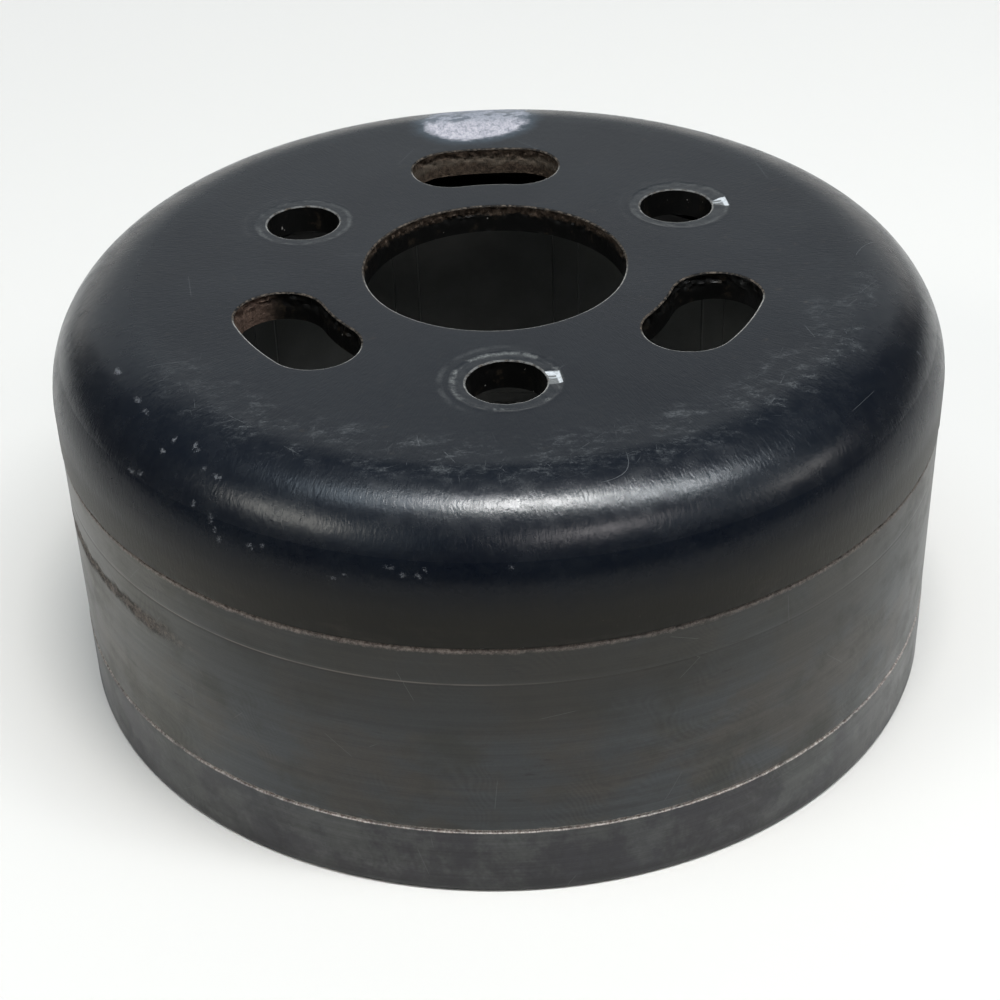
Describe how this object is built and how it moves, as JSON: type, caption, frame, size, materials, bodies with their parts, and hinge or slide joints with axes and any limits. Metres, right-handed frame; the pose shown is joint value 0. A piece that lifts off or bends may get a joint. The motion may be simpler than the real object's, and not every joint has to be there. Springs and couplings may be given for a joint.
{
  "type": "outer-rotor flywheel",
  "caption": "Pressed steel flywheel cup with a closed face, centre hole, bolt holes, kidney slots and a ring of magnets held inside the open rim.",
  "frame": {"origin": "centre of the open rim, on the surface that the cup stands on", "axes": "+Z along the spin axis towards the closed face, with one kidney slot on +Y and one bolt hole on -Y"},
  "size_m": [0.12, 0.12, 0.0562],
  "materials": {
    "cup": "worn satin paint over bare turned steel",
    "spacer": "black anodised, with an oily film",
    "cage": "matt moulded",
    "ring": "dark spring steel",
    "magnet": "ground ferrite",
    "adhesive": "cured resin"
  },
  "bodies": {
    "root": {"flywheel_cup": "cup", "spacer_ring": "spacer", "magnet_cage": "cage", "retaining_ring": "ring", "magnet_01": "magnet", "magnet_02": "magnet", "magnet_03": "magnet", "magnet_04": "magnet", "magnet_05": "magnet", "magnet_06": "magnet", "magnet_07": "magnet", "magnet_08": "magnet", "magnet_09": "magnet", "magnet_10": "magnet", "magnet_11": "magnet", "magnet_12": "magnet", "magnet_bond_01": "adhesive", "magnet_bond_02": "adhesive", "magnet_bond_03": "adhesive", "magnet_bond_04": "adhesive", "magnet_bond_05": "adhesive", "magnet_bond_06": "adhesive", "magnet_bond_07": "adhesive", "magnet_bond_08": "adhesive", "magnet_bond_09": "adhesive", "magnet_bond_10": "adhesive", "magnet_bond_11": "adhesive", "magnet_bond_12": "adhesive"}
  },
  "joints": []
}
